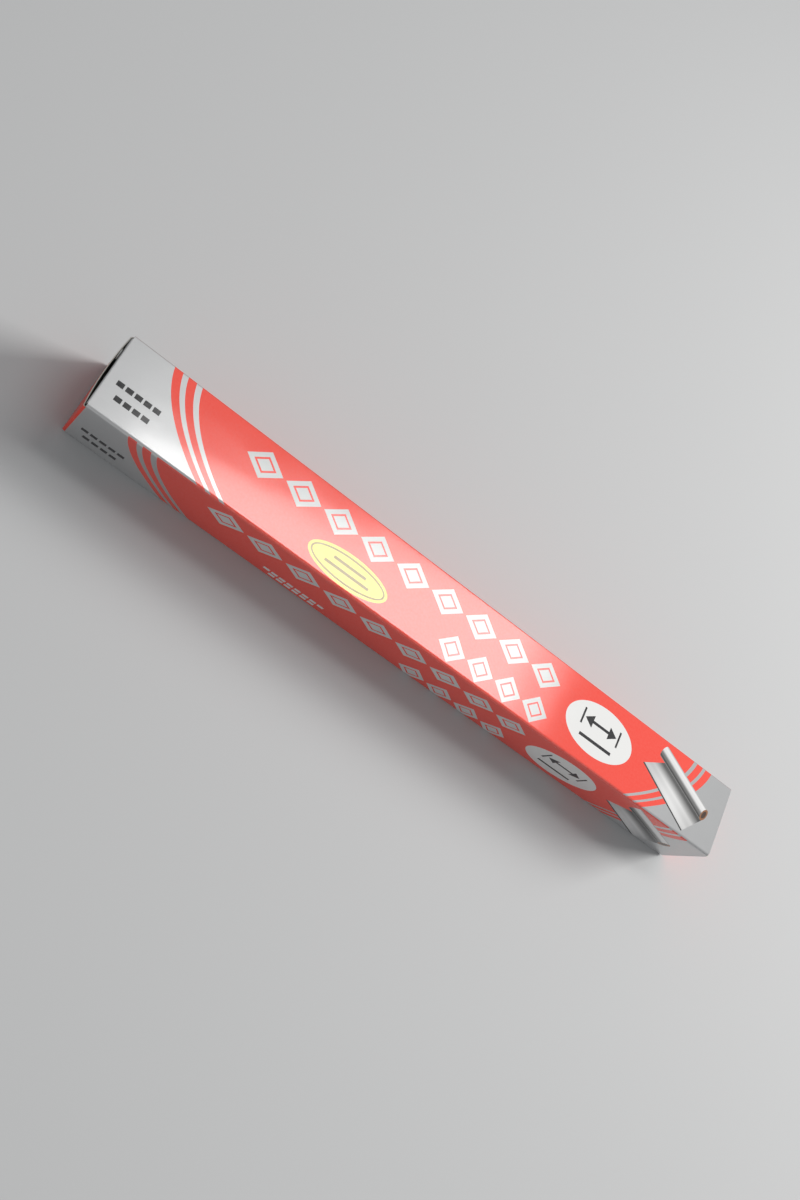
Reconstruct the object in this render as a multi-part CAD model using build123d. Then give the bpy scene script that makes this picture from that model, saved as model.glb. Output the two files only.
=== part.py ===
from build123d import *
import os
from math import cos, pi, radians, sin, sqrt

# A carton of household foil, lying on its floor panel: a tray folded from one sheet of board, the lid hinged
# along the top of its front wall, a toothed strip on the lid's lip, and the wound roll on its core.
# X runs along the roll, the front wall faces -Y, +Z is up, all sizes are in millimetres.

# Foil and core
foil_width = 450.0
foil_length = 30000.0
foil_gauge = 0.018
tail_step = 0.4
tail_angle = 58.0
drawn_turns = 4
turn_line_width = 0.3
turn_line_depth = 0.4
turn_line_margin = 0.5
core_outside = 31.0
core_wall = 1.25
core_overhang = 0.5

# Carton
board = 0.5
fold_inside = 0.2

# Lid
crease_radius = 1.6
crease_land = 0.2
lip_depth = 26.0
lip_corner = 3.0
ear_taper = 4.0

# End walls
left_bow = 1.4
right_bow = 0.5
glue_height = 25.0
floor_flap_taper = 5.0
back_flap_reach = 17.0
back_flap_taper = 3.0
flap_root = 2.0

# Toothed strip
strip_thickness = 0.25
strip_band = 7.0
tooth_pitch = 3.0
tooth_height = 1.9
strip_margin = 4.0

# Clearances
slip = 0.3
head_room = 1.1
side_room = 2.2
end_slip = 0.2
end_play = 1.0
ear_gap = 3.0
flap_gap = 2.0
wrap_gap = 0.05
notch = 0.2

# Positions that follow from the sizes above
fold_outside = fold_inside + board
roll_radius = sqrt((core_outside / 2) ** 2 + foil_length * foil_gauge / pi)
height = board + slip + 2 * roll_radius + head_room + board
width = board + 2 * (roll_radius + side_room) + board + slip + strip_thickness + board
front_y = -width / 2
lip_y = width / 2
back_y = lip_y - board - strip_thickness - slip
roll_y = (front_y + back_y) / 2
roll_z = board + slip + roll_radius
crease_z = height - crease_radius - crease_land
back_top = height - board - slip
lip_bottom = height - lip_depth
ear_low = glue_height + ear_gap
floor_flap_height = glue_height - flap_gap
lid_half = foil_width / 2 + core_overhang + end_play + board
lid_flat = lid_half - fold_outside
end_inside = lid_half + end_slip
end_outside = end_inside + board
wall_half = end_inside - board - fold_outside
wall_low = fold_outside + notch


def board_section(outline, radius=fold_outside):
    """Section of folded board: its outside follows the outline, its thickness lies to the left.

    The radius is one for all its folds, or a list with one for each.
    """
    path = FilletPolyline(*outline, radius=radius)
    return make_face(offset(path, amount=board, side=Side.LEFT).edges())


def along_x(face, half):
    """A section drawn in Y and Z, carried along X to both sides of the middle."""
    return extrude(Plane.YZ * face, amount=half, both=True)


def across_y(face, low, high):
    """A section drawn in X and Z, carried along Y from low to high."""
    return extrude(Plane.XZ.offset(-high) * face, amount=high - low)


def flap_outline(points):
    """A flap's cut outline in Y and Z, as a prism that reaches past both ends."""
    return along_x(make_face(Polyline(*points, close=True)), end_outside)


def end_ply_section(bow):
    """Plan of an end wall's outer ply: turned in from the front wall, then bowed outward to its free edge."""
    centre_x = end_outside - fold_outside
    centre_y = front_y + fold_outside
    middle_y = (centre_y + back_y) / 2
    diagonal = cos(radians(45))
    outer_mid = (centre_x + fold_outside * diagonal, centre_y - fold_outside * diagonal)
    inner_mid = (centre_x + fold_inside * diagonal, centre_y - fold_inside * diagonal)
    outer_bend = ThreePointArc((centre_x, front_y), outer_mid, (end_outside, centre_y))
    inner_bend = ThreePointArc((centre_x, front_y + board), inner_mid, (end_inside, centre_y))
    if bow:
        outer_face = ThreePointArc((end_outside, centre_y), (end_outside + bow, middle_y), (end_outside, back_y))
        inner_face = ThreePointArc((end_inside, centre_y), (end_inside + bow, middle_y), (end_inside, back_y))
    else:
        outer_face = Line((end_outside, centre_y), (end_outside, back_y))
        inner_face = Line((end_inside, centre_y), (end_inside, back_y))
    root = Polyline((centre_x, front_y), (wall_half, front_y), (wall_half, front_y + board), (centre_x, front_y + board))
    free_edge = Line((end_outside, back_y), (end_inside, back_y))
    return make_face([root.edges(), outer_bend, outer_face, free_edge, inner_face, inner_bend])


def end_ply(bow):
    """An end wall's outer ply: flat where it is glued, springing outward above that."""
    glued = extrude(Pos(0, 0, wall_low) * end_ply_section(0), amount=glue_height - wall_low)
    foot = Pos(0, 0, glue_height) * end_ply_section(0)
    rim = Pos(0, 0, crease_z) * end_ply_section(bow)
    return glued + loft([foot, rim], ruled=True)


def floor_flap():
    """The floor's end flap, turned up inside the outer ply, with tapered sides."""
    low_y = front_y + wall_low
    high_y = back_y - wall_low
    outline = [(wall_half, 0), (end_inside, 0), (end_inside, floor_flap_height)]
    flap = across_y(board_section(outline), low_y, high_y)
    cut = [
        (low_y, 0),
        (high_y, 0),
        (high_y, fold_outside + floor_flap_taper),
        (high_y - floor_flap_taper, floor_flap_height),
        (low_y + floor_flap_taper, floor_flap_height),
        (low_y, fold_outside + floor_flap_taper),
    ]
    return flap & flap_outline(cut)


def back_flap():
    """The back wall's end flap, turned in behind the floor flap, with tapered edges."""
    flap_x = end_inside - board
    free_y = back_y - back_flap_reach
    outline = [(flap_x, free_y), (flap_x, back_y), (wall_half - flap_root, back_y)]
    flap = extrude(Pos(0, 0, wall_low) * board_section(outline), amount=glue_height - wall_low)
    cut = [
        (back_y, wall_low),
        (back_y, glue_height),
        (back_y - fold_outside, glue_height),
        (free_y, glue_height - back_flap_taper),
        (free_y, wall_low + back_flap_taper),
        (back_y - fold_outside, wall_low),
    ]
    return flap & flap_outline(cut)


def back_wall_shoulder():
    """The back wall's upper part, which runs on past its end flap and stops just short of the outer ply."""
    length = end_inside - slip - wall_half
    low_z = glue_height + notch
    shoulder = Box(length, board, back_top - low_z, align=(Align.MIN, Align.MAX, Align.MIN))
    return Pos(wall_half, back_y, low_z) * shoulder


def end_wall(bow):
    """The right-hand end wall: three plies glued face to face, and the back wall's shoulder above them."""
    return end_ply(bow) + floor_flap() + back_flap() + back_wall_shoulder()


def carton_tray():
    """Front wall, floor and back wall in one folded channel, closed by the two end walls."""
    outline = [(front_y, crease_z), (front_y, 0), (back_y, 0), (back_y, back_top)]
    channel = along_x(board_section(outline), wall_half)
    return channel + end_wall(right_bow) + mirror(end_wall(left_bow), about=Plane.YZ)


def lid_ear():
    """The lid's right-hand ear; its back edge follows the swing about the front crease."""
    low_y = front_y + crease_radius + slip
    high_y = back_y - board - 2 * slip
    outline = [(lid_half, ear_low), (lid_half, height), (lid_flat - flap_root, height)]
    ear = across_y(board_section(outline), low_y, high_y)
    cut = [
        (low_y, height),
        (high_y, height),
        (high_y, ear_low),
        (low_y + ear_taper, ear_low),
        (low_y, ear_low + 2 * ear_taper),
    ]
    swing = Pos(front_y, crease_z) * Circle(back_y - board - slip - front_y)
    return ear & flap_outline(cut) & along_x(swing, end_outside)


def carton_lid():
    """Top panel with the softly rounded front crease, the back lip and an ear at each end."""
    outline = [(lip_y, lip_bottom), (lip_y, height), (front_y, height), (front_y, crease_z)]
    panel = along_x(board_section(outline, [fold_outside, crease_radius]), lid_flat)
    corners = panel.edges().filter_by(Axis.Y).group_by(Axis.Z)[0]
    panel = fillet(corners, radius=lip_corner)
    ear = lid_ear()
    return panel + ear + mirror(ear, about=Plane.YZ)


def cutter_strip():
    """Toothed metal strip glued inside the lip, its teeth standing out below the lip's edge."""
    count = int(2 * (lid_flat - strip_margin) / tooth_pitch)
    half = count * tooth_pitch / 2
    top = lip_bottom + strip_band
    points = [(half, lip_bottom), (half, top), (-half, top), (-half, lip_bottom)]
    for tooth in range(count):
        root_x = -half + tooth * tooth_pitch
        points.append((root_x + tooth_pitch / 2, lip_bottom - tooth_height))
        points.append((root_x + tooth_pitch, lip_bottom))
    blade = make_face(Polyline(*points[:-1], close=True))
    inside = lip_y - board
    return across_y(blade, inside - strip_thickness, inside)


def spiral(start_radius, end_radius, turns, steps_per_turn):
    """Points of a flat spiral about the roll's axis, starting at the loose end's angle."""
    points = []
    steps = turns * steps_per_turn
    for step in range(steps + 1):
        angle = radians(tail_angle + 360 * step / steps_per_turn)
        radius = start_radius + (end_radius - start_radius) * step / steps
        points.append((roll_y + radius * cos(angle), roll_z + radius * sin(angle)))
    return points


def turn_lines():
    """The spiral line that the wound turns show on the roll's right-hand end, as the groove to cut."""
    first = roll_radius - tail_step - turn_line_margin
    last = core_outside / 2 + turn_line_margin
    outer = spiral(first, last + turn_line_width, drawn_turns, 30)
    inner = spiral(first - turn_line_width, last, drawn_turns, 30)
    ends = [Line(outer[0], inner[0]), Line(outer[-1], inner[-1])]
    groove = make_face(Polyline(*outer).edges() + Polyline(*inner).edges() + ends)
    return extrude(Plane.YZ.offset(foil_width / 2 - turn_line_depth) * groove, amount=turn_line_depth)


def foil_roll():
    """The wound sheet as one solid, its radius falling by a step where the loose end lies on the roll."""
    outline = spiral(roll_radius + tail_step / 2, roll_radius - tail_step / 2, 1, 40)
    sheet = make_face([Spline(*outline), Line(outline[-1], outline[0])])
    bore = Pos(roll_y, roll_z) * Circle(core_outside / 2 + wrap_gap)
    lines = turn_lines()
    return along_x(sheet - bore, foil_width / 2) - lines - mirror(lines, about=Plane.YZ)


def core_tube():
    """The board tube that the foil is wound on."""
    ring = Circle(core_outside / 2) - Circle(core_outside / 2 - core_wall)
    return along_x(Pos(roll_y, roll_z) * ring, foil_width / 2 + core_overhang)


os.makedirs("parts", exist_ok=True)
export_step(carton_tray(), "parts/carton_tray.step")
export_step(carton_lid(), "parts/carton_lid.step")
export_step(cutter_strip(), "parts/cutter_strip.step")
export_step(foil_roll(), "parts/foil_roll.step")
export_step(core_tube(), "parts/core_tube.step")
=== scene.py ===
import math

import bmesh
import bpy
from bpy.props import FloatProperty, FloatVectorProperty, IntProperty, PointerProperty
from mathutils import Matrix, Vector
from mathutils.noise import noise as hills


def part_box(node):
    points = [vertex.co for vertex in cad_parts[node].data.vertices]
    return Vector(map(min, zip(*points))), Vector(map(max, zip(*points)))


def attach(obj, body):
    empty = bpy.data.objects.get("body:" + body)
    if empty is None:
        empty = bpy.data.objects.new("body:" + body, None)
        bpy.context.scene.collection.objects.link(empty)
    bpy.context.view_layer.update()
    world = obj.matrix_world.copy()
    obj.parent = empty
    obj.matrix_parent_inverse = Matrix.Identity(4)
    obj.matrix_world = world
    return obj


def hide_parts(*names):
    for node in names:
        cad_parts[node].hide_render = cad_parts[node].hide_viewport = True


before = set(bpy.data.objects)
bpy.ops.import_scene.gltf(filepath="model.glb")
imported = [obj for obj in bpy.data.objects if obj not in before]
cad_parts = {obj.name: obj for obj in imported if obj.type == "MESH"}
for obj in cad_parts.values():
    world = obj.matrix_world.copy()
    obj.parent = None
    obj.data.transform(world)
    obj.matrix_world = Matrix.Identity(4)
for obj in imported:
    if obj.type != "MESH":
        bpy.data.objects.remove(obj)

bl_info = {
    "name": "Foil Carton",
    "version": (1, 0, 0),
    "blender": (4, 5, 0),
    "location": "3D View > Sidebar > Foil Carton",
    "description": "Builds a printed carton of kitchen foil around its packed CAD frame",
    "category": "Object",
}

MM = 0.001
TINY = 1e-7
ROUNDING = 1e-6
X, Y, Z = range(3)
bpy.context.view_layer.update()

# Materials of a carton mesh, in slot order
TOP, FRONT, BACK, FLOOR, END, INSIDE, RAW = range(7)
CARTON_MATERIALS = (
    "carton_top_print",
    "carton_front_print",
    "carton_back_print",
    "carton_floor_print",
    "carton_end_print",
    "carton_grey_board",
    "carton_raw_edge",
)

# How finely the meshes are stepped
ARC_STEPS = 8
FLAP_STEPS = 10
ROLL_STEPS = 144
TURN_STEPS = 6
CORE_STEPS = 120
HOLD = 0.25 * MM
CORNER_RUN = 0.4 * MM
EAR_RUN = 1.5 * MM
PLY_RUN = 2 * MM
SPRING_RUN = 1.5 * MM
FOIL_RUN = 1.9 * MM
SHARP_ANGLE = math.radians(32)

# Small forms: a panel's hollows (size, rate, phase), the foil's crinkles, the lines between turns
HOLLOW_WAVES = ((0.35, 23, 1.0), (0.25, 51, 4.0))
DENTS_ALONG, DENTS_ROUND = 22, 1.1
CREASE_SCALE, CREASE_WIDTH = 2.3, 0.07
CREASE_START, CREASE_SKEW = 9.0, 4.0
DENT_SHARE = 0.6
TURN_LINE = 0.22
WAVER_ALONG, WAVER_SEED = 14, 3.0
BORE_GAP = 0.05 * MM
# The foil's ring stops just short of a full turn, so that no face at its loose end is empty
FULL_RING = 0.9996

# Weight of the varnish, and how metallic the silver ink is
GLOSS, SATIN = 1.0, 0.6
SILVER_METAL = 0.45
# Part of its fold at which the print of an end wall's outer ply changes
PLY_PRINT = 0.9

# Layout of the print, in millimetres from the middle of its panel
WALL_MIDDLE = 20.0
STRIPES_FROM = (-202, 23.5)
STRIPE_SLOPE, STRIPE_BEND = 0.196, 0.0149
RIGHT_SHIFT = 5.5
LEFT_STRIPES, LEFT_FIELD = ((0, 5.2), (8.6, 13.7)), 17.3
RIGHT_STRIPES, RIGHT_FIELD = ((0, 5.4), (7.9, 13.0)), 15.9
# Each row of shapes has its start, end, count, middle and half height
LOZENGE_ROWS = ((-149, 82, 9, 9.2, 8.6), (-3.5, 82, 4, -12.8, 8.6))
END_DASHES = ((-221.5, -194.5, 5, -3.4, 1.5), (-218.5, -197, 4, -10.9, 1.5))
FRONT_DASHES = ((-101, -58, 8, -12.6, 1.2), (-96, -63, 6, -16.2, 1.2))
# Shares of a row's pitch, and of a lozenge's reach
LOZENGE_WIDTH, LOZENGE_HEART, LOZENGE_FRAME = 0.46, 0.46, 0.62
DASH_WIDTH = 0.38
OVAL, OVAL_RADII = (118.2, 0), (26.8, 15.6)
OVAL_BAR = ((118.2, -7.6), (13, 1.0))
ARROW = (118.2, 3.4)
ARROW_SHAFT = (10, 0.9)
ARROW_FOOT, ARROW_TIP, ARROW_SLOPE = 6.5, 13, 0.62
ARROW_TICKS, ARROW_TICK_HEIGHT = (14, 15.4), 5.2
LABEL, LABEL_RADII = (-68, -12.2), (27, 9.6)
RING_OUTSIDE, RING_INSIDE = (25.2, 7.8), (24.2, 6.8)
LABEL_BARS = (((-68, -9.8), (11, 0.8)), ((-68, -14.2), (15, 0.8)))
LABEL_BROWN = (0.24, 0.16, 0.02)
# The first limit is where the front crease is scuffed; above the second the print is darkened as
# painted shade along the back fold
SCUFFED_BELOW, FOLD_SHADE_ABOVE = -22.3, 22.6

# Tones of worn ink, of the painted shade along the lid's back fold, of foil and of steel
SCUFF_TONE, FOLD_SHADE_TONE, DUST_TONE = (0.9, 0.86, 0.83), (0.2, 0.05, 0.045), (0.9, 0.88, 0.86)
WORN_TONE = (0.9, 0.8, 0.76)
FOIL_TONES = ((0.78, 0.79, 0.80), (0.93, 0.93, 0.94))
STEEL_TONES = ((0.50, 0.51, 0.52), (0.76, 0.77, 0.78))

# The drawn foil roll: its place and turn, its roll, and each sheet edge's slope and place
FIGURE = (167.6, 16.2)
FIGURE_COS, FIGURE_SIN = 0.92, 0.39
ROLL_LENGTH, ROLL_RADIUS = 48.5, 4.4
NEAR_BULGE, CORE_BULGE, CORE_BORE = 1.7, 2.2, 0.42
SHEET_END = (0.066, 18.4)
SHEET_NEAR, SHEET_FAR = (0.80, 8.8), (0.34, 51.0)
SHEET_TOP, SHEET_HEM = -2, 1.0
SHADE_FROM, SHADE_WIDTH, SHADE_DEPTH = 11.5, 5.5, 0.86
SHEET_GREY, ROLL_GREY = 0.60, 0.42
HEM_DARK = (0.05, 0.05, 0.05)
CORE_BROWN, BORE_BROWN = (0.27, 0.12, 0.055), (0.06, 0.035, 0.025)

# The core tube's helical seam, in millimetres: its pitch, its lead for each radian and its width
SEAM_PITCH, SEAM_LEAD, SEAM_WIDTH = 82, 13, 0.7

# The stage, in metres
FLOOR_SIZE, FLOOR_DROP = 12, 0.2 * MM
MIDDLE = (0, 0, 0.02)
SHEEN_ALONG = (0.982, 0.19, 0)
SOFT_SHEEN = 1.09
KEY_WHITE, LAMP_WHITE = (1, 0.99, 0.97), (1, 0.99, 0.98)
SKY_WHITE = (0.97, 0.985, 1.0, 1)
SENSOR_WIDTH = 36
CAMERA_PLACE = (-0.249746, -0.263455, 0.584449)
CAMERA_RIGHT = (0.757314, 0.419777, 0.500262)
CAMERA_DOWN = (0.558159, -0.813738, -0.162142)
CAMERA_AHEAD = (0.339019, 0.402018, -0.850557)


def length_setting(name, description, millimetres):
    """A length that a user can change, kept in metres."""
    default = millimetres * MM
    return FloatProperty(name=name, description=description, default=default, unit="LENGTH")


def colour_setting(name, description, default):
    """A colour that a user can change."""
    return FloatVectorProperty(
        name=name, description=description, default=default, subtype="COLOR", min=0, max=1
    )


class CartonSettings(bpy.types.PropertyGroup):
    """Board, folds and end walls of the carton."""

    board: length_setting("Board", "Thickness of the board", 0.5)
    fold: length_setting("Fold", "Outside radius of a fold", 0.7)
    crease: length_setting("Crease", "Outside radius of the lid's front crease", 1.6)
    crease_land: length_setting("Crease Land", "Straight strip of lid below the front crease", 0.2)
    crease_ease: length_setting(
        "Crease Ease", "How far that strip stands back from the front wall", 0.01
    )
    run: length_setting("Run", "Longest step along a flat panel", 6)
    sag: length_setting("Sag", "How far a panel hollows in its middle", 0.04)
    left_bow: length_setting("Left Bow", "Spring of the left end's top edge", 1.4)
    right_bow: length_setting("Right Bow", "Spring of the right end's top edge", 0.5)
    glue_height: length_setting("Glue Height", "Height to which an end wall's plies are glued", 25)
    flap_gap: length_setting("Flap Gap", "Floor flap's top below the glue line", 2)
    flap_taper: length_setting("Flap Taper", "Taper of the floor flap", 5)
    back_reach: length_setting("Back Reach", "Reach of the back wall's flap", 17)
    back_taper: length_setting("Back Taper", "Taper of the back wall's flap", 3)
    ear_gap: length_setting("Ear Gap", "Ear's lower edge above the glue line", 3)
    ear_taper: length_setting("Ear Taper", "Taper of the lid's ear", 4)
    lip_corner: length_setting("Lip Corner", "Radius of the lip's lower corners", 3)
    slip: length_setting("Slip", "Clearance between sliding faces", 0.3)
    shoulder_gap: length_setting(
        "Shoulder Gap", "Gap between the back wall and an end wall's outer ply", 0.05
    )
    end_slip: length_setting("End Slip", "Clearance of an ear in its end wall", 0.2)
    notch: length_setting("Notch", "Relief at the corners of the blank", 0.2)


class RollSettings(bpy.types.PropertyGroup):
    """Foil roll, core tube and toothed strip."""

    tail_step: length_setting("Tail Step", "Step where the loose end lies", 0.4)
    tail_angle: FloatProperty(
        name="Tail Angle",
        description="Place of the loose end, turned up from the back",
        default=math.radians(58),
        subtype="ANGLE",
    )
    tail_waver: FloatProperty(
        name="Tail Waver",
        description="How far the loose end's edge wanders",
        default=math.radians(1.1),
        subtype="ANGLE",
    )
    crinkle: length_setting("Crinkle", "Depth of the foil's shallow dents", 0.10)
    turns: IntProperty(name="Turns", description="Turns drawn on the roll's ends", default=7, min=1)
    turn_depth: length_setting("Turn Depth", "Depth of the lines between turns", 0.2)
    core_wall: length_setting("Core Wall", "Wall of the core tube", 1.25)
    core_rim: length_setting("Core Rim", "Rounding of the core tube's rims", 0.2)
    tooth_pitch: length_setting("Tooth Pitch", "Pitch of the strip's teeth", 3)
    tooth_height: length_setting("Tooth Height", "Height of the strip's teeth", 1.9)
    strip_edge: length_setting("Strip Edge", "Rounding of the strip's edges", 0.04)


class PrintSettings(bpy.types.PropertyGroup):
    """Inks and boards."""

    red: colour_setting("Red", "Field and stripes", (0.86, 0.075, 0.05))
    silver: colour_setting("Silver", "Carton ends", (0.51, 0.515, 0.52))
    white: colour_setting("White", "Oval and lines", (0.78, 0.78, 0.77))
    pale: colour_setting("Pale", "Lozenges", (0.62, 0.63, 0.63))
    yellow: colour_setting("Yellow", "Small label", (0.82, 0.68, 0.09))
    dark: colour_setting("Dark", "Bars and signs", (0.02, 0.02, 0.022))
    grey_board: colour_setting("Grey Board", "Inside of the board", (0.40, 0.37, 0.33))
    raw_edge: colour_setting("Raw Edge", "Cut edges of the board", (0.62, 0.59, 0.53))
    tube_board: colour_setting("Tube Board", "Core tube", (0.42, 0.30, 0.19))


class StageSettings(bpy.types.PropertyGroup):
    """Floor, lights and camera."""

    floor: colour_setting("Floor", "Pale floor", (0.53, 0.535, 0.54))
    key: FloatProperty(name="Key", description="Power of the soft key light, in watts", default=16)
    sheen: FloatProperty(
        name="Sheen", description="Power of each light that the lid mirrors, in watts", default=2.75
    )
    front: FloatProperty(
        name="Front",
        description="Power of the faint low light on the front wall, in watts",
        default=1.5,
    )
    fill: FloatProperty(name="Fill", description="Strength of the even sky", default=0.36)
    lens: FloatProperty(name="Lens", description="Focal length, in millimetres", default=34.89)


class Sizes:
    """Places of the carton's panels, in metres, read from the CAD frame and the settings."""

    def __init__(self, carton):
        lid_low, lid_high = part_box("carton_lid")
        _, tray_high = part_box("carton_tray")
        self.front_y = lid_low.y
        self.lip_y = lid_high.y
        self.height = lid_high.z
        self.lip_bottom = lid_low.z
        self.lid_half = lid_high.x
        self.lid_flat = self.lid_half - carton.fold
        self.crease_z = self.height - carton.crease - carton.crease_land
        self.back_y = tray_high.y
        self.back_top = tray_high.z
        self.end_inside = self.lid_half + carton.end_slip
        self.end_outside = self.end_inside + carton.board
        self.wall_half = self.end_inside - carton.board - carton.fold
        self.wall_low = carton.fold + carton.notch
        self.ear_low = carton.glue_height + carton.ear_gap
        self.flap_top = carton.glue_height - carton.flap_gap


class Field:
    """A number that varies over a surface.

    It wraps a shader socket, so that shapes read as plain arithmetic.
    """

    def __init__(self, tree, socket):
        self.tree = tree
        self.socket = socket

    def _math(self, operation, *values):
        node = self.tree.nodes.new("ShaderNodeMath")
        node.operation = operation
        for slot, value in zip(node.inputs, values):
            if isinstance(value, Field):
                self.tree.links.new(value.socket, slot)
            else:
                slot.default_value = value
        return Field(self.tree, node.outputs[0])

    def __add__(self, other):
        return self._math("ADD", self, other)

    def __radd__(self, other):
        return self._math("ADD", other, self)

    def __sub__(self, other):
        return self._math("SUBTRACT", self, other)

    def __rsub__(self, other):
        return self._math("SUBTRACT", other, self)

    def __mul__(self, other):
        return self._math("MULTIPLY", self, other)

    def __truediv__(self, other):
        return self._math("DIVIDE", self, other)

    def __abs__(self):
        return self._math("ABSOLUTE", self)

    def under(self, limit):
        return self._math("LESS_THAN", self, limit)

    def over(self, limit):
        return self._math("GREATER_THAN", self, limit)

    def between(self, low, high):
        return self.over(low) * self.under(high)

    def either(self, other):
        return self._math("MAXIMUM", self, other)

    def sine(self):
        return self._math("SINE", self)

    def angle_from(self, along):
        return self._math("ARCTAN2", self, along)

    def repeat(self, pitch):
        return self._math("FLOORED_MODULO", self, pitch)

    def clamp(self):
        return self._math("MAXIMUM", self._math("MINIMUM", self, 1.0), 0.0)


def new_material(name):
    """A node material with its shader; returns the material, its tree and the shader."""
    material = bpy.data.materials.new(name)
    material.use_nodes = True
    tree = material.node_tree
    shader = tree.nodes["Principled BSDF"]
    return material, tree, shader


def object_axes(tree):
    """The piece's own X, Y and Z as fields, in millimetres."""
    coordinates = tree.nodes.new("ShaderNodeTexCoord")
    scale = tree.nodes.new("ShaderNodeVectorMath")
    scale.operation = "SCALE"
    scale.inputs["Scale"].default_value = 1 / MM
    split = tree.nodes.new("ShaderNodeSeparateXYZ")
    tree.links.new(coordinates.outputs["Object"], scale.inputs[0])
    tree.links.new(scale.outputs[0], split.inputs[0])
    return [Field(tree, output) for output in split.outputs]


def noise(tree, scale, detail=3.0, stretch=(1, 1, 1)):
    """Noise over the piece's own coordinates, as a field about 0.5."""
    coordinates = tree.nodes.new("ShaderNodeTexCoord")
    mapping = tree.nodes.new("ShaderNodeMapping")
    mapping.inputs["Scale"].default_value = stretch
    texture = tree.nodes.new("ShaderNodeTexNoise")
    texture.inputs["Scale"].default_value = scale
    texture.inputs["Detail"].default_value = detail
    tree.links.new(coordinates.outputs["Object"], mapping.inputs["Vector"])
    tree.links.new(mapping.outputs["Vector"], texture.inputs["Vector"])
    return Field(tree, texture.outputs["Fac"])


def paint(tree, under, mask, over):
    """Colour over where the mask is 1, colour under elsewhere, each a socket or a constant."""
    mix = tree.nodes.new("ShaderNodeMix")
    mix.data_type = "RGBA"
    tree.links.new(mask.socket, mix.inputs["Factor"])
    for slot, colour in ((mix.inputs[6], under), (mix.inputs[7], over)):
        if isinstance(colour, bpy.types.NodeSocket):
            tree.links.new(colour, slot)
        else:
            slot.default_value = (*colour, 1)
    return mix.outputs[2]


def grey(tree, level):
    """A field as a grey colour."""
    combine = tree.nodes.new("ShaderNodeCombineColor")
    for slot in combine.inputs:
        tree.links.new(level.socket, slot)
    return combine.outputs[0]


def dimmed(colour, part):
    """A colour at part of its brightness."""
    return [channel * part for channel in colour]


def bump(tree, shader, height, distance, strength=1.0):
    """Gives the shader a bump of that height field, over any bump it has."""
    node = tree.nodes.new("ShaderNodeBump")
    node.inputs["Distance"].default_value = distance
    node.inputs["Strength"].default_value = strength
    tree.links.new(height.socket, node.inputs["Height"])
    if shader.inputs["Normal"].links:
        tree.links.new(shader.inputs["Normal"].links[0].from_socket, node.inputs["Normal"])
    tree.links.new(node.outputs["Normal"], shader.inputs["Normal"])


def striped(distance, stripes, field):
    """1 in each stripe and past the field's edge, by the distance from the outermost line."""
    ink = distance.over(field)
    for low, high in stripes:
        ink = ink.either(distance.between(low, high))
    return ink


def red_area(x, y):
    """1 on the red field and its stripes, 0 on the silver ends. Both edges follow one curve."""
    start, top = STRIPES_FROM
    drop = top - y
    curve = drop * STRIPE_SLOPE + drop * drop * STRIPE_BEND + start
    left = x - curve
    right = RIGHT_SHIFT - curve - x
    return striped(left, LEFT_STRIPES, LEFT_FIELD) * striped(right, RIGHT_STRIPES, RIGHT_FIELD)


def ellipse(x, y, centre, radii):
    """How far out in an ellipse a point is: 0 at its centre, 1 on its edge."""
    across = (x - centre[0]) / radii[0]
    up = (y - centre[1]) / radii[1]
    return across * across + up * up


def bar(x, y, centre, half):
    """1 in a plain bar."""
    return abs(x - centre[0]).under(half[0]) * abs(y - centre[1]).under(half[1])


def lozenges(x, y, start, end, count, middle, half_height):
    """A row of lozenges, each a frame round a smaller lozenge."""
    pitch = (end - start) / count
    along = abs((x - start).repeat(pitch) - pitch / 2) / (pitch * LOZENGE_WIDTH)
    across = abs(y - middle) / half_height
    reach = along + across
    shape = reach.under(LOZENGE_HEART).either(reach.between(LOZENGE_FRAME, 1.0))
    return shape * x.between(start, end)


def dashes(x, y, start, end, count, middle, half_height):
    """A row of short bars."""
    pitch = (end - start) / count
    along = abs((x - start).repeat(pitch) - pitch / 2).under(pitch * DASH_WIDTH)
    return along * x.between(start, end) * abs(y - middle).under(half_height)


def joined(shape, x, y, places):
    """One kind of shape at several places."""
    first, *others = places
    ink = shape(x, y, *first)
    for place in others:
        ink = ink.either(shape(x, y, *place))
    return ink


def length_sign(x, y):
    """A double arrow between two ticks, and a bar below it."""
    along = abs(x - ARROW[0])
    across = abs(y - ARROW[1])
    shaft = along.under(ARROW_SHAFT[0]) * across.under(ARROW_SHAFT[1])
    slant = across - (ARROW_TIP - along) * ARROW_SLOPE
    heads = along.between(ARROW_FOOT, ARROW_TIP) * slant.under(0)
    ticks = along.between(*ARROW_TICKS) * across.under(ARROW_TICK_HEIGHT)
    return shaft.either(heads).either(ticks).either(bar(x, y, *OVAL_BAR))


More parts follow.
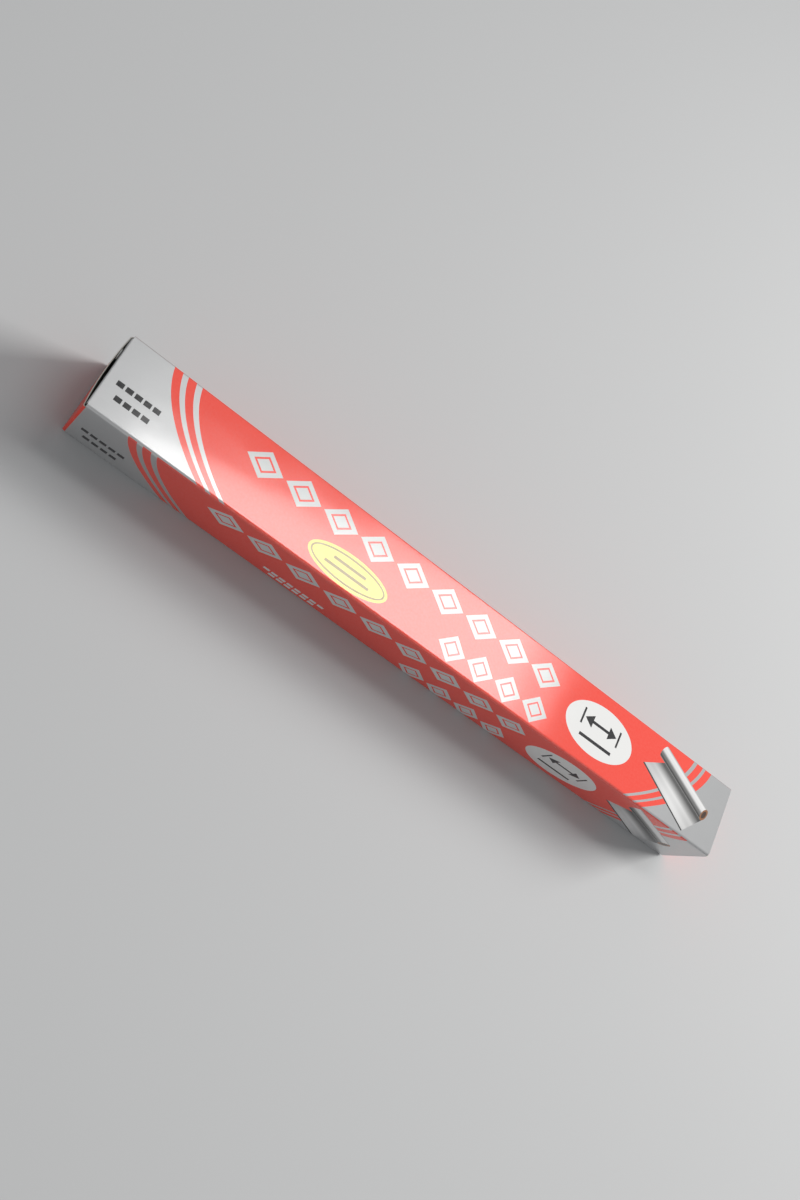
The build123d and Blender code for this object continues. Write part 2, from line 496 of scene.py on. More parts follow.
def foil_figure(tree, colour, x, y):
    """Paints a foil roll with its sheet drawn out, and returns the colour and the figure's mask."""
    from_x = x - FIGURE[0]
    from_y = y - FIGURE[1]
    along = from_x * FIGURE_COS - from_y * FIGURE_SIN
    across = from_x * FIGURE_SIN + from_y * FIGURE_COS

    edge = across + along * SHEET_END[0] + SHEET_END[1]
    near = along - across * SHEET_NEAR[0] - SHEET_NEAR[1]
    far = along - across * SHEET_FAR[0] - SHEET_FAR[1]
    sheet = edge.over(0) * across.under(SHEET_TOP) * near.over(0) * far.under(0)
    shade = 1 - ((across + SHADE_FROM) / SHADE_WIDTH).clamp() * SHADE_DEPTH
    broad = (along * 0.11 + across * 0.07).sine() * 0.09
    fine = (across * 1.1 + along * 0.05).sine() * 0.03
    colour = paint(tree, colour, sheet, grey(tree, (SHEET_GREY + (broad + fine)) * shade))
    colour = paint(tree, colour, sheet * edge.under(SHEET_HEM), HEM_DARK)

    bulge = ellipse(along, across, (0, 0), (NEAR_BULGE, ROLL_RADIUS)).under(1)
    roll = (along.between(0, ROLL_LENGTH) * abs(across).under(ROLL_RADIUS)).either(bulge)
    broad = (across * 0.66 + 0.25).sine() * 0.36
    fine = (across * 2.3 + 0.6).sine() * 0.06
    colour = paint(tree, colour, roll, grey(tree, broad + fine + ROLL_GREY))

    core = ellipse(along, across, (ROLL_LENGTH, 0), (CORE_BULGE, ROLL_RADIUS))
    colour = paint(tree, colour, core.under(1), CORE_BROWN)
    colour = paint(tree, colour, core.under(CORE_BORE), BORE_BROWN)
    return colour, sheet.either(roll).either(core.under(1))


def yellow_label(tree, colour, x, y, inks):
    """Paints an oval label with a ring and two lines, and returns the colour and its mask."""
    label = ellipse(x, y, LABEL, LABEL_RADII).under(1)
    colour = paint(tree, colour, label, inks.yellow)
    ring = ellipse(x, y, LABEL, RING_OUTSIDE).under(1) * ellipse(x, y, LABEL, RING_INSIDE).over(1)
    lines = ring.either(joined(bar, x, y, LABEL_BARS))
    return paint(tree, colour, lines, LABEL_BROWN), label


def white_lines(tree, colour, x, y, inks):
    """Paints two rows of white dashes in the label's place, and returns the colour and mask."""
    lines = joined(dashes, x, y, FRONT_DASHES)
    return paint(tree, colour, lines, inks.white), lines


def artwork(tree, colour, x, y, inks, label):
    """The design on the two main panels: lozenge rows, oval, label, dark dashes and foil figure.

    Returns the colour and the mask of all that is printed over the silver.
    """
    rows = joined(lozenges, x, y, LOZENGE_ROWS)
    colour = paint(tree, colour, rows, inks.pale)
    oval = ellipse(x, y, OVAL, OVAL_RADII).under(1)
    colour = paint(tree, colour, oval, inks.white)
    colour = paint(tree, colour, length_sign(x, y), inks.dark)
    colour, label_area = label(tree, colour, x, y, inks)
    ends = joined(dashes, x, y, END_DASHES)
    colour = paint(tree, colour, ends, inks.dark)
    colour, figure_area = foil_figure(tree, colour, x, y)
    return colour, rows.either(oval).either(label_area).either(ends).either(figure_area)


def finish_print(tree, shader, colour, varnish, silver=None):
    """Ink under a coat of varnish, on slightly uneven board. Silver ink has a sheen of its own."""
    tree.links.new(colour, shader.inputs["Base Color"])
    if silver is not None:
        metal = silver * SILVER_METAL
        tree.links.new(metal.socket, shader.inputs["Metallic"])
    rough = 0.33 + (noise(tree, 220, 4) - 0.5) * 0.1
    tree.links.new(rough.socket, shader.inputs["Roughness"])
    shader.inputs["Specular IOR Level"].default_value = 0.0
    shader.inputs["Coat Weight"].default_value = varnish
    shader.inputs["Coat Roughness"].default_value = 0.09
    shader.inputs["Coat IOR"].default_value = 1.57
    bump(tree, shader, noise(tree, 900, 3), distance=0.01 * MM, strength=0.8)
    bump(tree, shader, noise(tree, 26, 2, (0.5, 1, 1)), distance=0.5 * MM, strength=0.35)
    tree.links.new(shader.inputs["Normal"].links[0].from_socket, shader.inputs["Coat Normal"])


def printed_board(name, inks, across, shift, varnish, label=None):
    """Varnished print on board, darkened by painted shade towards the lid's back fold.

    across is the axis over the panel and shift its middle; a label brings the artwork with it.
    """
    _, tree, shader = new_material(name)
    axes = object_axes(tree)
    x = axes[X]
    y = axes[across] - shift
    red = red_area(x, y)
    colour = paint(tree, inks.silver, red, inks.red)
    silver = 1 - red
    if label:
        colour, covered = artwork(tree, colour, x, y, inks, label)
        silver = silver * (1 - covered)
    scuff = ((SCUFFED_BELOW - y) * 0.8).clamp() * noise(tree, 900, 4).over(0.47) * 0.16
    colour = paint(tree, colour, scuff, SCUFF_TONE)
    # Painted shade: the print darkens towards the lid's back fold, where the fold turns away from
    # the light
    painted_fold_shade = ((y - FOLD_SHADE_ABOVE) * 2).clamp() * 0.3
    colour = paint(tree, colour, painted_fold_shade, FOLD_SHADE_TONE)
    colour = paint(tree, colour, noise(tree, 650, 2) * 0.05, DUST_TONE)
    finish_print(tree, shader, colour, varnish, silver)


def red_flap(name, inks):
    """The end walls' outer plies: plain red print."""
    _, tree, shader = new_material(name)
    worn = noise(tree, 700, 4).over(0.62) * 0.05
    colour = paint(tree, inks.red, worn, WORN_TONE)
    finish_print(tree, shader, colour, SATIN)


def plain_board(name, colour, spread, scale):
    """Unprinted board: a fibrous, slightly speckled matt surface."""
    material, tree, shader = new_material(name)
    fibre = noise(tree, scale, 5, (0.35, 1, 1))
    specks = noise(tree, scale * 2.6, 2).over(0.66) * 0.5
    tone = paint(tree, dimmed(colour, 1 - spread), ((fibre - 0.3) * 2.2).clamp(), colour)
    tone = paint(tree, tone, specks * 0.35, dimmed(colour, 0.45))
    tree.links.new(tone, shader.inputs["Base Color"])
    rough = 0.82 + (fibre - 0.5) * 0.2
    tree.links.new(rough.socket, shader.inputs["Roughness"])
    bump(tree, shader, fibre, distance=0.06 * MM, strength=0.6)
    return material


def wound_board(name, colour, middle_y, middle_z):
    """Tube board wound from strips: a matt fibrous surface with a helical seam."""
    material = plain_board(name, colour, spread=0.25, scale=300)
    tree = material.node_tree
    base = tree.nodes["Principled BSDF"].inputs["Base Color"]
    x, y, z = object_axes(tree)
    turn = (z - middle_z / MM).angle_from(y - middle_y / MM)
    seam = (x + turn * SEAM_LEAD).repeat(SEAM_PITCH).under(SEAM_WIDTH)
    tone = base.links[0].from_socket
    tree.links.new(paint(tree, tone, seam, dimmed(colour, 0.4)), base)
    return material


def streaked_metal(name, streak_noise, tones, rough_from, rough_by):
    """Bright metal streaked between two tones; returns the material, tree, shader and streaks."""
    material, tree, shader = new_material(name)
    shader.inputs["Metallic"].default_value = 1.0
    streak = noise(tree, *streak_noise)
    tree.links.new(paint(tree, tones[0], streak, tones[1]), shader.inputs["Base Color"])
    rough = rough_from + streak * rough_by
    tree.links.new(rough.socket, shader.inputs["Roughness"])
    return material, tree, shader, streak


def bright_foil(name):
    """Rolled aluminium: drawn lines round the roll, shallow crinkles and a broken sheen."""
    drawn = (60, 3, (7, 1, 1))
    material, tree, shader, _ = streaked_metal(name, drawn, FOIL_TONES, 0.16, 0.14)
    bump(tree, shader, noise(tree, 420, 3, (2.5, 1, 1)), distance=0.05 * MM, strength=0.5)
    bump(tree, shader, noise(tree, 36, 4, (0.5, 1, 1)), distance=0.8 * MM, strength=0.45)
    return material


def tinned_steel(name):
    """Bright strip steel, brushed along its length."""
    brushed = (900, 3, (0.02, 1, 1))
    material, tree, shader, streak = streaked_metal(name, brushed, STEEL_TONES, 0.22, 0.2)
    bump(tree, shader, streak, distance=0.02 * MM, strength=0.4)
    return material


def carton_materials(inks):
    """The carton's materials in slot order, made once and shared by tray and lid."""
    top, front, back, floor, end, inside, raw = CARTON_MATERIALS
    if top not in bpy.data.materials:
        printed_board(top, inks, Y, 0.0, GLOSS, yellow_label)
        printed_board(front, inks, Z, WALL_MIDDLE, GLOSS, white_lines)
        printed_board(back, inks, Z, WALL_MIDDLE, SATIN)
        printed_board(floor, inks, Y, 0.0, SATIN)
        red_flap(end, inks)
        plain_board(inside, inks.grey_board, spread=0.18, scale=1100)
        plain_board(raw, inks.raw_edge, spread=0.2, scale=1600)
    return [bpy.data.materials[name] for name in CARTON_MATERIALS]


def steps(start, end, run):
    """Values from start to end, no more than run apart."""
    count = max(1, math.ceil(abs(end - start) / run - ROUNDING))
    return [start + (end - start) * k / count for k in range(count + 1)]


def held_steps(length, run):
    """Steps along a flat panel, one of them close to each end, so that its shading stays flat."""
    if length < TINY:
        return [0]
    if length < 3 * HOLD:
        return [0, length]
    return [0] + steps(HOLD, length - HOLD, run) + [length]


def fold_path(points, radii, run):
    """Outside of folded board in its section: (point, inward normal, panel) along it.

    panel is a whole number on a flat panel and counts up through each fold.
    """
    corners = [Vector(point) for point in points]
    path = []
    start = corners[0]
    for panel in range(len(corners) - 1):
        heading = (corners[panel + 1] - corners[panel]).normalized()
        inward = Vector((-heading.y, heading.x))
        last = panel == len(corners) - 2
        radius = 0 if last else radii[panel]
        end = corners[panel + 1] - heading * radius
        for reach in held_steps((end - start).length, run):
            path.append((start + heading * reach, inward, float(panel)))
        if last:
            break
        centre = end + inward * radius
        for k in range(1, ARC_STEPS):
            normal = Matrix.Rotation(math.pi / 2 * k / ARC_STEPS, 2) @ inward
            path.append((centre - normal * radius, normal, panel + k / ARC_STEPS))
        start = centre - Matrix.Rotation(math.pi / 2, 2) @ inward * radius
    return path


def panel_faces(path, materials, split=0.5):
    """The material of each face along a path; a fold changes over at the given part of its turn."""
    faces = []
    for (_, _, before), (_, _, after) in zip(path, path[1:]):
        middle = (before + after) / 2
        panel = math.floor(middle)
        faces.append(materials[panel + (1 if middle - panel > split else 0)])
    return faces


def board_rows(stations, path, axes, place, board):
    """Rows of a board's outer and inner points, one row for each station.

    The path is drawn in the two axes, and place puts a point of it at a station.
    """
    outer, inner = [], []
    for station in stations:
        outside, inside = [], []
        for point, normal, panel in path:
            spot = place(station, point, panel)
            under = list(spot)
            for axis, part in zip(axes, normal):
                under[axis] += part * board
            outside.append(spot)
            inside.append(under)
        outer.append(outside)
        inner.append(inside)
    return outer, inner


def add_sheet(mesh, outer, inner, outside):
    """Adds one closed board to a bmesh, from its rows of outer and inner points.

    outside lists the material of each column of outer faces.
    """
    top = [[mesh.verts.new(point) for point in row] for row in outer]
    under = [[mesh.verts.new(point) for point in row] for row in inner]

    def face(corners, material):
        made = mesh.faces.new(corners)
        made.material_index = material
        made.smooth = True

    for i in range(len(top) - 1):
        for j in range(len(top[0]) - 1):
            face((top[i][j], top[i][j + 1], top[i + 1][j + 1], top[i + 1][j]), outside[j])
            face((under[i][j], under[i + 1][j], under[i + 1][j + 1], under[i][j + 1]), INSIDE)
    rims = []
    for grid in (top, under):
        rim = list(grid[0])
        rim += [row[-1] for row in grid[1:]]
        rim += grid[-1][-2::-1]
        rim += [row[0] for row in grid[-2:0:-1]]
        rims.append(rim)
    for k in range(len(rims[0])):
        following = (k + 1) % len(rims[0])
        face((rims[0][k], rims[1][k], rims[1][following], rims[0][following]), RAW)


def add_left(mesh, outer, inner, outside):
    """Adds the mirror image of a right-hand board at the left end."""
    sides = [[[(-x, y, z) for x, y, z in row] for row in side] for side in (outer, inner)]
    add_sheet(mesh, *sides, outside)


def add_ring(mesh, rows):
    """Adds a closed ring to a bmesh: each row is a closed section, and the last joins the first."""
    grid = [[mesh.verts.new(point) for point in row] for row in rows]
    for i, row in enumerate(grid):
        following = grid[(i + 1) % len(grid)]
        for j in range(len(row)):
            k = (j + 1) % len(row)
            face = mesh.faces.new((row[j], row[k], following[k], following[j]))
            face.smooth = True


def finish_piece(name, mesh, materials, body, node):
    """Turns a bmesh into a piece that replaces a CAD node and rides on its body."""
    bmesh.ops.recalc_face_normals(mesh, faces=mesh.faces)
    data = bpy.data.meshes.new(name)
    mesh.to_mesh(data)
    mesh.free()
    for material in materials:
        data.materials.append(material)
    data.set_sharp_from_angle(angle=SHARP_ANGLE)
    piece = bpy.data.objects.new(name, data)
    bpy.context.scene.collection.objects.link(piece)
    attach(piece, body)
    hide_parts(node)


def hollow(x, part, depth):
    """How far a panel hollows at x and at a part of the way across it."""
    wave = 1 + sum(size * math.sin(rate * x + phase) for size, rate, phase in HOLLOW_WAVES)
    return depth * wave * math.sin(math.pi * max(0, min(1, part)))


def lid_panel(mesh, carton, at):
    """The lid's lip, top and front crease, swept along its length, with rounded lip corners."""
    outline = [
        (at.lip_y, at.lip_bottom),
        (at.lip_y, at.height),
        (at.front_y, at.height),
        (at.front_y, at.crease_z),
    ]
    path = fold_path(outline, [carton.fold, carton.crease], carton.run)
    corner_x = at.lid_flat - carton.lip_corner
    corner_steps = steps(0, carton.lip_corner, CORNER_RUN)
    stations = [-at.lid_flat + offset for offset in corner_steps]
    stations += steps(-corner_x, corner_x, carton.run)[1:-1]
    stations += [at.lid_flat - offset for offset in reversed(corner_steps)]
    lip_top = at.height - carton.fold

    def place(x, point, panel):
        y, z = point
        if panel == 0:
            past = max(0, abs(x) - corner_x)
            rise = carton.lip_corner - math.sqrt(max(0, carton.lip_corner**2 - past**2))
            low = at.lip_bottom + rise
            z = low + (z - at.lip_bottom) * (lip_top - low) / (lip_top - at.lip_bottom)
        if panel == 1:
            z -= hollow(x, (y - at.front_y) / (at.lip_y - at.front_y), carton.sag)
        if panel == 2:
            y += carton.crease_ease
        return x, y, z

    outer, inner = board_rows(stations, path, (Y, Z), place, carton.board)
    add_sheet(mesh, outer, inner, panel_faces(path, (BACK, TOP, FRONT)))


def lid_ear(carton, at):
    """The lid's ear; its back edge follows the swing about the crease."""
    low_y = at.front_y + carton.crease + carton.slip
    high_y = at.back_y - carton.board - 2 * carton.slip
    swing = at.back_y - carton.board - carton.slip - at.front_y
    outline = [(at.lid_half, at.ear_low), (at.lid_half, at.height), (at.lid_flat, at.height)]
    path = fold_path(outline, [carton.fold], EAR_RUN)

    def place(part, point, _):
        x, z = point
        cut = max(0, 1 - (z - at.ear_low) / (2 * carton.ear_taper)) * carton.ear_taper
        reach = min(high_y, at.front_y + math.sqrt(swing**2 - (z - at.crease_z) ** 2))
        return x, (low_y + cut) * (1 - part) + reach * part, z

    outer, inner = board_rows(steps(0, 1, 1 / FLAP_STEPS), path, (X, Z), place, carton.board)
    return outer, inner, panel_faces(path, (TOP, TOP))


def tray_channel(mesh, carton, at):
    """Front wall, floor and back wall, swept along the tray."""
    outline = [
        (at.front_y, at.crease_z),
        (at.front_y, 0),
        (at.back_y, 0),
        (at.back_y, at.back_top),
    ]
    path = fold_path(outline, [carton.fold] * 2, carton.run)
    stations = steps(-at.wall_half, at.wall_half, carton.run)

    def place(x, point, panel):
        y, z = point
        if panel == 0:
            y += hollow(x, (z - carton.fold) / (at.crease_z - carton.fold), carton.sag)
        return x, y, z

    outer, inner = board_rows(stations, path, (Y, Z), place, carton.board)
    add_sheet(mesh, outer, inner, panel_faces(path, (FRONT, FLOOR, BACK)))


def end_ply(carton, at, bow, root_print):
    """An end wall's outer ply: glued flat below, its free top edge sprung outward by bow."""
    corner = (at.end_outside, at.front_y)
    outline = [(at.wall_half, at.front_y), corner, (at.end_outside, at.back_y)]
    path = fold_path(outline, [carton.fold], PLY_RUN)
    start_y = at.front_y + carton.fold
    heights = steps(at.wall_low, carton.glue_height, carton.run)[:-1]
    heights += steps(carton.glue_height, at.crease_z, SPRING_RUN)

    def place(z, point, panel):
        x, y = point
        if panel == 1:
            lift = max(0, z - carton.glue_height) / (at.crease_z - carton.glue_height)
            part = (y - start_y) / (at.back_y - start_y)
            x += 4 * part * (1 - part) * bow * lift
        return x, y, z

    outer, inner = board_rows(heights, path, (X, Y), place, carton.board)
    return outer, inner, panel_faces(path, (root_print, END), PLY_PRINT)


def floor_flap(carton, at):
    """The floor's end flap."""
    low_y = at.front_y + at.wall_low
    high_y = at.back_y - at.wall_low
    outline = [(at.wall_half, 0), (at.end_inside, 0), (at.end_inside, at.flap_top)]
    path = fold_path(outline, [carton.fold], PLY_RUN)
    straight = carton.fold + carton.flap_taper

    def place(part, point, _):
        x, z = point
        cut = max(0, (z - straight) / (at.flap_top - straight)) * carton.flap_taper
        return x, (low_y + cut) * (1 - part) + (high_y - cut) * part, z

    outer, inner = board_rows(steps(0, 1, 1 / FLAP_STEPS), path, (X, Z), place, carton.board)
    return outer, inner, panel_faces(path, (FLOOR, END))


def back_flap(carton, at):
    """The back wall's end flap."""
    flap_x = at.end_inside - carton.board
    free_y = at.back_y - carton.back_reach
    fold_y = at.back_y - carton.fold
    outline = [(flap_x, free_y), (flap_x, at.back_y), (at.wall_half, at.back_y)]
    path = fold_path(outline, [carton.fold], PLY_RUN)

    def place(part, point, _):
        x, y = point
        cut = max(0, (fold_y - y) / (fold_y - free_y)) * carton.back_taper
        return x, y, (at.wall_low + cut) * (1 - part) + (carton.glue_height - cut) * part

    outer, inner = board_rows(steps(0, 1, 1 / FLAP_STEPS), path, (X, Y), place, carton.board)
    return outer, inner, panel_faces(path, (END, BACK))


def back_shoulder(carton, at):
    """The back wall's upper part, which runs on past its flap to the outer ply."""
    heights = (carton.glue_height + carton.notch, at.back_top)
    outer, inner = [], []
    for x in (at.wall_half, at.end_inside - carton.shoulder_gap):
        outer.append([(x, at.back_y, z) for z in heights])
        inner.append([(x, at.back_y - carton.board, z) for z in heights])
    return outer, inner, [BACK]


def roll_middle():
    """The roll's middle in Y and Z, and the core's outside radius, from the core tube's box."""
    low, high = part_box("core_tube")
    return (low.y + high.y) / 2, (low.z + high.z) / 2, (high.z - low.z) / 2


def crinkles(x, angle, depth):
    """How far the foil is pressed in: broad dents, and fine creases that run askew."""
    place = Vector((x * DENTS_ALONG, DENTS_ROUND * math.cos(angle), DENTS_ROUND * math.sin(angle)))
    dent = 0.5 + 0.5 * hills(place)
    askew = place * CREASE_SCALE + Vector((CREASE_START, CREASE_SKEW * x, 0))
    crease = max(0, 1 - abs(hills(askew)) / CREASE_WIDTH)
    return depth * (DENT_SHARE * dent + (1 - DENT_SHARE) * crease)


def turn_line(radius, bore, part, pitch):
    """1 in the spiral line between two turns on the roll's end, 0 on the turns."""
    phase = ((radius - bore) / pitch + part) % 1
    return max(0, 1 - abs(phase - 0.5) / TURN_LINE)


def roll_section(roll, part, bore):
    """A closed section of the wound foil: bore, end, outside, end.

    part is how much of the way round it stands from the loose end.
    """
    middle_y, middle_z, _ = roll_middle()
    low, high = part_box("foil_roll")
    full = high.z - middle_z + roll.tail_step * (math.pi / 2 - roll.tail_angle) / math.tau
    outside = full - roll.tail_step * part
    pitch = (full - bore) / roll.turns

    def place(x, radius):
        wander = hills(Vector((x * WAVER_ALONG, 0, WAVER_SEED)))
        waver = roll.tail_waver * wander * (radius - bore) / (full - bore)
        angle = roll.tail_angle + math.tau * part * FULL_RING + waver
        return x, middle_y + radius * math.cos(angle), middle_z + radius * math.sin(angle)

    def sunk(radius):
        return roll.turn_depth * turn_line(radius, bore, part, pitch)

    points = [place(low.x, bore), place(high.x, bore)]
    radii = steps(bore, outside, (outside - bore) / (TURN_STEPS * roll.turns))[1:-1]
    points += [place(high.x - sunk(radius), radius) for radius in radii]
    angle = roll.tail_angle + math.tau * part
    for x in steps(high.x, low.x, FOIL_RUN):
        points.append(place(x, outside - crinkles(x, angle, roll.crinkle)))
    points += [place(low.x + sunk(radius), radius) for radius in reversed(radii)]
    return points


def area_light(name, place, target, along, size, power, colour, spread=180, glare=True):
    """A soft rectangular light aimed at a point, its long side along a direction.

    The spread is in degrees. A light without glare isn't mirrored by shiny surfaces.
    """
    light = bpy.data.lights.new(name, "AREA")
    light.shape = "RECTANGLE"
    light.size, light.size_y = size
    light.energy = power
    light.spread = math.radians(spread)
    light.color = colour
    lamp = bpy.data.objects.new(name, light)
    lamp.visible_glossy = glare
    back = (Vector(place) - Vector(target)).normalized()
    side = (Vector(along) - back * back.dot(Vector(along))).normalized()
    turn = Matrix((side, back.cross(side), back)).transposed()
    lamp.matrix_world = Matrix.Translation(place) @ turn.to_4x4()
    bpy.context.scene.collection.objects.link(lamp)


def plain_floor(colour):
    """The pale floor that the carton lies on."""
    bpy.ops.mesh.primitive_plane_add(size=FLOOR_SIZE, location=(0, 0, -FLOOR_DROP))
    floor = bpy.context.object
    floor.name = "stage_floor"
    material, tree, shader = new_material("stage_floor_paint")
    tone = paint(tree, dimmed(colour, 0.95), noise(tree, 1.4, 2), colour)
    tree.links.new(tone, shader.inputs["Base Color"])
    shader.inputs["Roughness"].default_value = 0.9
    shader.inputs["Specular IOR Level"].default_value = 0.2
    floor.data.materials.append(material)


def even_sky(strength):
    """A plain pale sky as fill."""
    world = bpy.data.worlds.new("stage_sky")
    world.use_nodes = True
    background = world.node_tree.nodes["Background"]
    background.inputs["Color"].default_value = SKY_WHITE
    background.inputs["Strength"].default_value = strength
    bpy.context.scene.world = world


def stage_lights(stage):
    """A key light from the right, two lights that the lid mirrors, and a faint front light."""
    area_light(
        "stage_key",
        place=(2.25, 1.2, 1.25),
        target=(0.35, 0.08, 0),
        along=(-0.47, 0.88, 0),
        size=(1.1, 0.7),
        power=stage.key,
        colour=KEY_WHITE,
        spread=70,
        glare=False,
    )
    area_light(
        "stage_sheen",
        place=(0.39, 0.66, 1.536),
        target=MIDDLE,
        along=SHEEN_ALONG,
        size=(0.91, 0.235),
        power=stage.sheen,
        colour=LAMP_WHITE,
    )
    area_light(
        "stage_soft_sheen",
        place=(0.425, 0.632, 1.524),
        target=MIDDLE,
        along=SHEEN_ALONG,
        size=(0.99, 0.235),
        power=stage.sheen * SOFT_SHEEN,
        colour=LAMP_WHITE,
    )
    area_light(
        "stage_front",
        place=(0.1, -2.0, 0.4),
        target=MIDDLE,
        along=(1, 0, 0),
        size=(1.2, 0.4),
        power=stage.front,
        colour=LAMP_WHITE,
    )


def camera_at(lens):
    """The camera at the photograph's place and turn."""
    data = bpy.data.cameras.new("stage_camera")
    data.lens = lens
    data.sensor_width = SENSOR_WIDTH
    data.clip_start = 0.01
    camera = bpy.data.objects.new("stage_camera", data)
    turn = Matrix((Vector(CAMERA_RIGHT), -Vector(CAMERA_DOWN), -Vector(CAMERA_AHEAD))).transposed()
    camera.matrix_world = Matrix.Translation(CAMERA_PLACE) @ turn.to_4x4()
    bpy.context.scene.collection.objects.link(camera)
    bpy.context.scene.camera = camera


class FOILCARTON_OT_tray(bpy.types.Operator):
    """Build the carton's tray"""

    bl_idname = "foilcarton.tray"
    bl_label = "Tray"

    def execute(self, context):
        carton = context.scene.foil_carton
        at = Sizes(carton)
        mesh = bmesh.new()
        tray_channel(mesh, carton, at)
        for flap in (floor_flap, back_flap, back_shoulder):
            sheet = flap(carton, at)
            add_sheet(mesh, *sheet)
            add_left(mesh, *sheet)
        # The print sits a little to the right, so red shows on the front wall's left edge only
        add_sheet(mesh, *end_ply(carton, at, carton.right_bow, FRONT))
        add_left(mesh, *end_ply(carton, at, carton.left_bow, END))
        materials = carton_materials(context.scene.foil_print)
        finish_piece("tray_board", mesh, materials, "tray", "carton_tray")
        return {"FINISHED"}


class FOILCARTON_OT_lid(bpy.types.Operator):
    """Build the carton's lid with its lip and ears"""

    bl_idname = "foilcarton.lid"
    bl_label = "Lid"

    def execute(self, context):
        carton = context.scene.foil_carton
        at = Sizes(carton)
        mesh = bmesh.new()
        lid_panel(mesh, carton, at)
        ear = lid_ear(carton, at)
        add_sheet(mesh, *ear)
        add_left(mesh, *ear)
        materials = carton_materials(context.scene.foil_print)
        finish_piece("lid_board", mesh, materials, "lid", "carton_lid")
        return {"FINISHED"}


class FOILCARTON_OT_roll(bpy.types.Operator):
    """Build the wound foil with its loose end"""

    bl_idname = "foilcarton.roll"
    bl_label = "Foil Roll"

    def execute(self, context):
        roll = context.scene.foil_roll
        _, _, core = roll_middle()
        bore = core + BORE_GAP
        mesh = bmesh.new()
        add_ring(mesh, [roll_section(roll, k / ROLL_STEPS, bore) for k in range(ROLL_STEPS + 1)])
        foil = bright_foil("foil_bright")
        finish_piece("wound_foil", mesh, [foil], "tray", "foil_roll")
        return {"FINISHED"}


class FOILCARTON_OT_core(bpy.types.Operator):
    """Build the core tube"""

    bl_idname = "foilcarton.core"
    bl_label = "Core Tube"

    def execute(self, context):
        roll = context.scene.foil_roll
        middle_y, middle_z, outside = roll_middle()
        low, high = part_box("core_tube")
        inside = outside - roll.core_wall
        rim = roll.core_rim
        section = [
            (low.x + rim, inside),
            (high.x - rim, inside),
            (high.x, inside + rim),
            (high.x, outside - rim),
            (high.x - rim, outside),
            (low.x + rim, outside),
            (low.x, outside - rim),
            (low.x, inside + rim),
        ]
        rows = []
        for angle in steps(0, math.tau, math.tau / CORE_STEPS)[:-1]:
            up, back = math.sin(angle), math.cos(angle)
            rows.append([(x, middle_y + r * back, middle_z + r * up) for x, r in section])
        mesh = bmesh.new()
        add_ring(mesh, rows)
        colour = context.scene.foil_print.tube_board
        board = wound_board("core_brown_board", colour, middle_y, middle_z)
        finish_piece("core_paper_tube", mesh, [board], "tray", "core_tube")
        return {"FINISHED"}


class FOILCARTON_OT_cutter(bpy.types.Operator):
    """Build the toothed strip with its edges broken"""

    bl_idname = "foilcarton.cutter"
    bl_label = "Toothed Strip"

    def execute(self, context):
        roll = context.scene.foil_roll
        low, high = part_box("cutter_strip")
        root_z = low.z + roll.tooth_height
        roots = steps(low.x, high.x, roll.tooth_pitch)
        mesh = bmesh.new()
        outline = [(roots[0], high.z), (roots[0], root_z)]
        for left, right in zip(roots, roots[1:]):
            outline += [((left + right) / 2, low.z), (right, root_z)]
        outline.append((roots[-1], high.z))
        blade = mesh.faces.new([mesh.verts.new((x, low.y, z)) for x, z in outline])
        pressed = bmesh.ops.extrude_face_region(mesh, geom=[blade])["geom"]
        for point in pressed:
            if isinstance(point, bmesh.types.BMVert):
                point.co.y = high.y
        rims = []
        for edge in mesh.edges:
            start, end = edge.verts
            if edge.is_manifold and abs(start.co.y - end.co.y) < TINY:
                rims.append(edge)
        bmesh.ops.bevel(mesh, geom=rims, offset=roll.strip_edge, segments=1, affect="EDGES")
        bmesh.ops.triangulate(mesh, faces=[face for face in mesh.faces if len(face.verts) > 4])
        steel = tinned_steel("cutter_tinned_steel")
        finish_piece("toothed_strip", mesh, [steel], "lid", "cutter_strip")
        return {"FINISHED"}


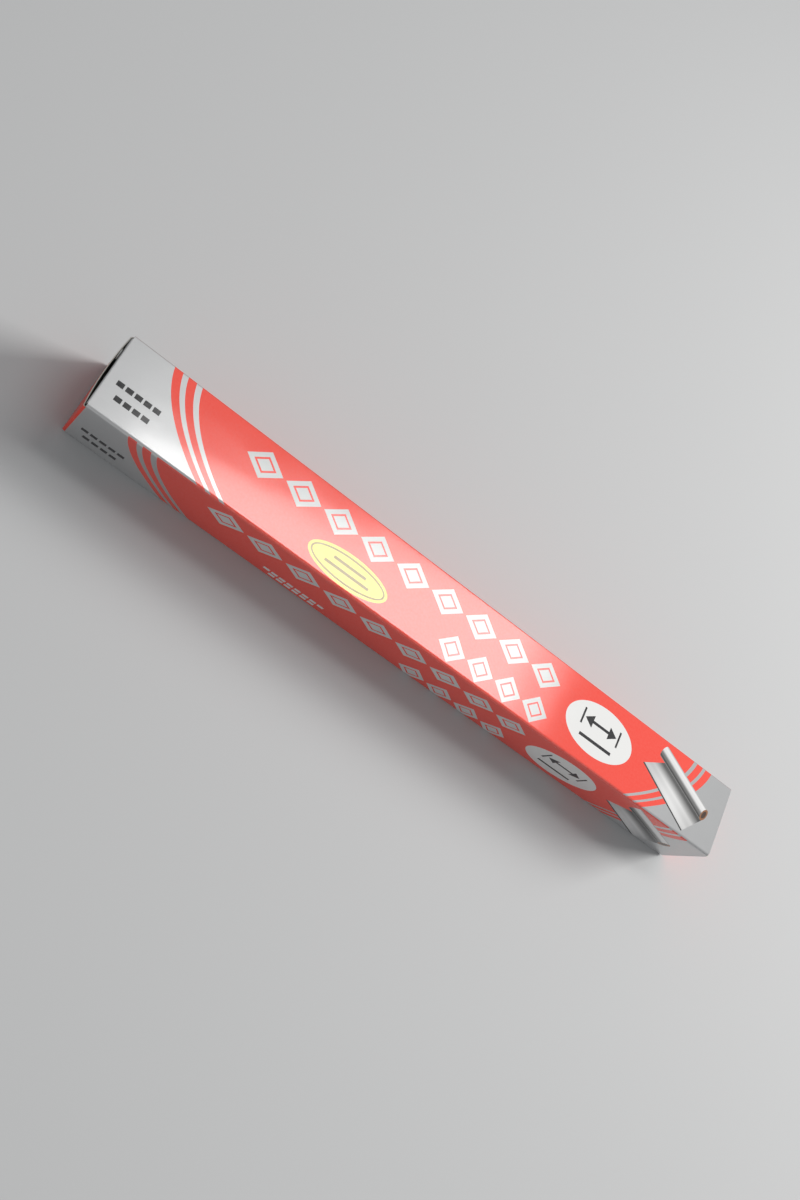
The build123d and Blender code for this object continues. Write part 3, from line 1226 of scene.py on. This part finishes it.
class FOILCARTON_OT_stage(bpy.types.Operator):
    """Set up the floor, lights and camera"""

    bl_idname = "foilcarton.stage"
    bl_label = "Stage"

    def execute(self, context):
        stage = context.scene.foil_stage
        plain_floor(stage.floor)
        even_sky(stage.fill)
        stage_lights(stage)
        camera_at(stage.lens)
        context.scene.view_settings.view_transform = "Standard"
        return {"FINISHED"}


class FOILCARTON_PT_panel(bpy.types.Panel):
    """Sidebar panel of the foil carton"""

    bl_idname = "FOILCARTON_PT_panel"
    bl_label = "Foil Carton"
    bl_space_type = "VIEW_3D"
    bl_region_type = "UI"
    bl_category = "Foil Carton"

    def draw(self, context):
        for operator in OPERATORS:
            self.layout.operator(operator.bl_idname)
        scene = context.scene
        for group in (scene.foil_carton, scene.foil_roll, scene.foil_print, scene.foil_stage):
            for name in group.__annotations__:
                self.layout.prop(group, name)


OPERATORS = (
    FOILCARTON_OT_tray,
    FOILCARTON_OT_lid,
    FOILCARTON_OT_roll,
    FOILCARTON_OT_core,
    FOILCARTON_OT_cutter,
    FOILCARTON_OT_stage,
)
SETTINGS = (CartonSettings, RollSettings, PrintSettings, StageSettings)
CLASSES = SETTINGS + OPERATORS + (FOILCARTON_PT_panel,)


def register():
    for cls in CLASSES:
        bpy.utils.register_class(cls)
    bpy.types.Scene.foil_carton = PointerProperty(type=CartonSettings)
    bpy.types.Scene.foil_roll = PointerProperty(type=RollSettings)
    bpy.types.Scene.foil_print = PointerProperty(type=PrintSettings)
    bpy.types.Scene.foil_stage = PointerProperty(type=StageSettings)


def unregister():
    del bpy.types.Scene.foil_stage
    del bpy.types.Scene.foil_print
    del bpy.types.Scene.foil_roll
    del bpy.types.Scene.foil_carton
    for cls in reversed(CLASSES):
        bpy.utils.unregister_class(cls)


def main():
    register()
    bpy.ops.foilcarton.tray()
    bpy.ops.foilcarton.lid()
    bpy.ops.foilcarton.roll()
    bpy.ops.foilcarton.core()
    bpy.ops.foilcarton.cutter()
    bpy.ops.foilcarton.stage()
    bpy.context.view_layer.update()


if __name__ == "__main__":
    main()
